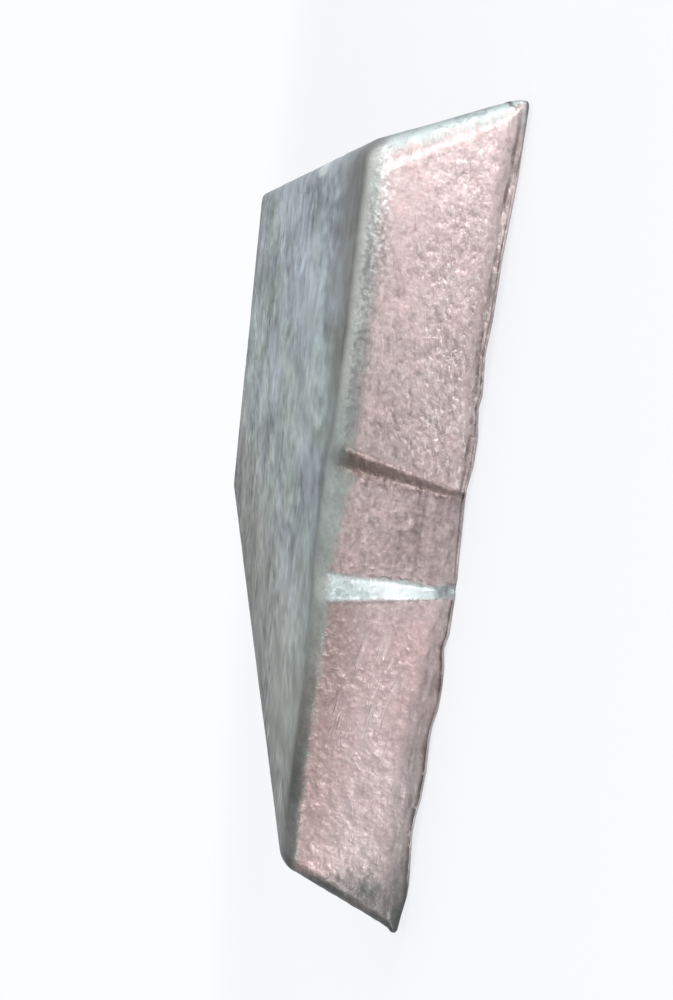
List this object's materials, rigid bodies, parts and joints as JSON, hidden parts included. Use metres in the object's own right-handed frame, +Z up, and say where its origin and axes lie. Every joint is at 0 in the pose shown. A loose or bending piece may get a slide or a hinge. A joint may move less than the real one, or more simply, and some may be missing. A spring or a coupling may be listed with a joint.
{
  "type": "zinc ingot",
  "caption": "Flat cast zinc slab with sloping walls, rounded mould-floor edges, a ragged poured rim and a shallow recess in each short end; raw stock for remelting.",
  "frame": {"origin": "centre of the bounding box on the base, the open-poured face that lies on the floor", "axes": "+Y along the slab's length, +X across its width, +Z up out of the mould-floor face"},
  "size_m": [0.222, 0.47, 0.0362],
  "materials": {
    "zinc": "satin"
  },
  "bodies": {
    "root": {"ingot": "zinc"}
  },
  "joints": []
}
